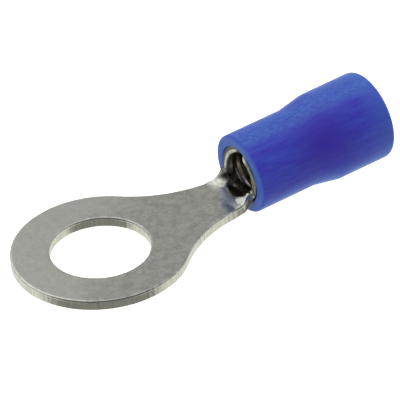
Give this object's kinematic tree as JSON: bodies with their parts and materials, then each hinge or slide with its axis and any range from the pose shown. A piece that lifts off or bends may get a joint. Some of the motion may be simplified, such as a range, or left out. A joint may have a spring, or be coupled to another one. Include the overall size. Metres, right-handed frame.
{
  "type": "insulated ring cable lug",
  "caption": "Insulated ring cable lug: flat stud ring and necked tongue, rolled wire barrel with an open seam, and a stepped plastic sleeve for the wire's insulation.",
  "frame": {"origin": "centre of the stud hole on the underside of the tongue", "axes": "+Z along the stud hole, away from the contact face; +X along the tongue towards the wire barrel and the sleeve; the part is the same on both sides of the XZ plane"},
  "size_m": [0.0266, 0.0114, 0.0062],
  "materials": {
    "tinned_copper": "dull tin plating on copper strip",
    "blue_pvc": "satin moulded PVC"
  },
  "bodies": {
    "root": {"terminal": "tinned_copper", "insulating_sleeve": "blue_pvc"}
  },
  "joints": []
}
